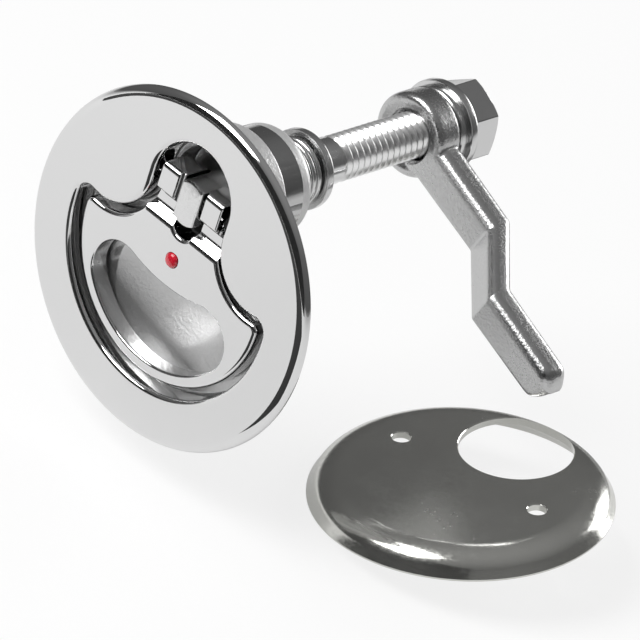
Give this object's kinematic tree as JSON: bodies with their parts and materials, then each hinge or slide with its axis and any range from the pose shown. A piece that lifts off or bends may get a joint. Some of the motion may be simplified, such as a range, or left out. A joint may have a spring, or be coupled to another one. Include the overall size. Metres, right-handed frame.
{
  "type": "flush pull latch",
  "caption": "Round flush pull latch for a hatch, with a lift handle in a recessed face, a sprung spindle, a joggled cam arm and a round backing plate",
  "frame": {"origin": "centre of the round body, in the plane where the back of the face plate seats on the hatch", "axes": "+Y runs along the spindle into the hatch, so the polished face looks along -Y; +Z points from the centre to the spindle head, and the handle hangs down along -Z when it is flush"},
  "size_m": [0.1201, 0.0863, 0.0827],
  "materials": {
    "polished_steel": "mirror polished stainless steel on the face, satin in the recess and on the cast back",
    "turned_steel": "turned stainless steel, bright",
    "cast_steel": "tumbled cast stainless steel with a fine grain",
    "spring_steel": "drawn stainless spring steel",
    "rolled_steel": "pressed stainless sheet, buffed and darker",
    "red_enamel": "glossy red"
  },
  "bodies": {
    "housing": {"face_housing": "polished_steel", "backing_plate": "rolled_steel"},
    "spindle_group": {"spindle": "turned_steel", "pivot_pin": "polished_steel", "retainer_washer": "turned_steel", "retaining_ring": "spring_steel", "compression_spring": "spring_steel"},
    "handle_group": {"handle": "polished_steel", "red_marker": "red_enamel"},
    "arm_group": {"cam_arm": "cast_steel", "lock_washer": "spring_steel", "flat_washer": "turned_steel", "hex_nut": "turned_steel"}
  },
  "joints": [
    {"name": "spindle_slide", "type": "slide", "parent": "housing", "child": "spindle_group", "axis": [0, 1, 0], "range_m": [0, 0.0025], "deforming": ["compression_spring"]},
    {"name": "handle_hinge", "type": "hinge", "parent": "spindle_group", "child": "handle_group", "pos_m": [0, 0.002, 0.0164], "axis": [-1, 0, 0], "range_deg": [0, 90]},
    {"name": "arm_turn", "type": "hinge", "parent": "spindle_group", "child": "arm_group", "pos_m": [0, 0.067, 0.0164], "axis": [0, -1, 0], "range_deg": [0, 90]}
  ],
  "couplings": [
    {"joint": "handle_hinge", "follows": "spindle_slide", "rad_per_m": 628.32}
  ]
}
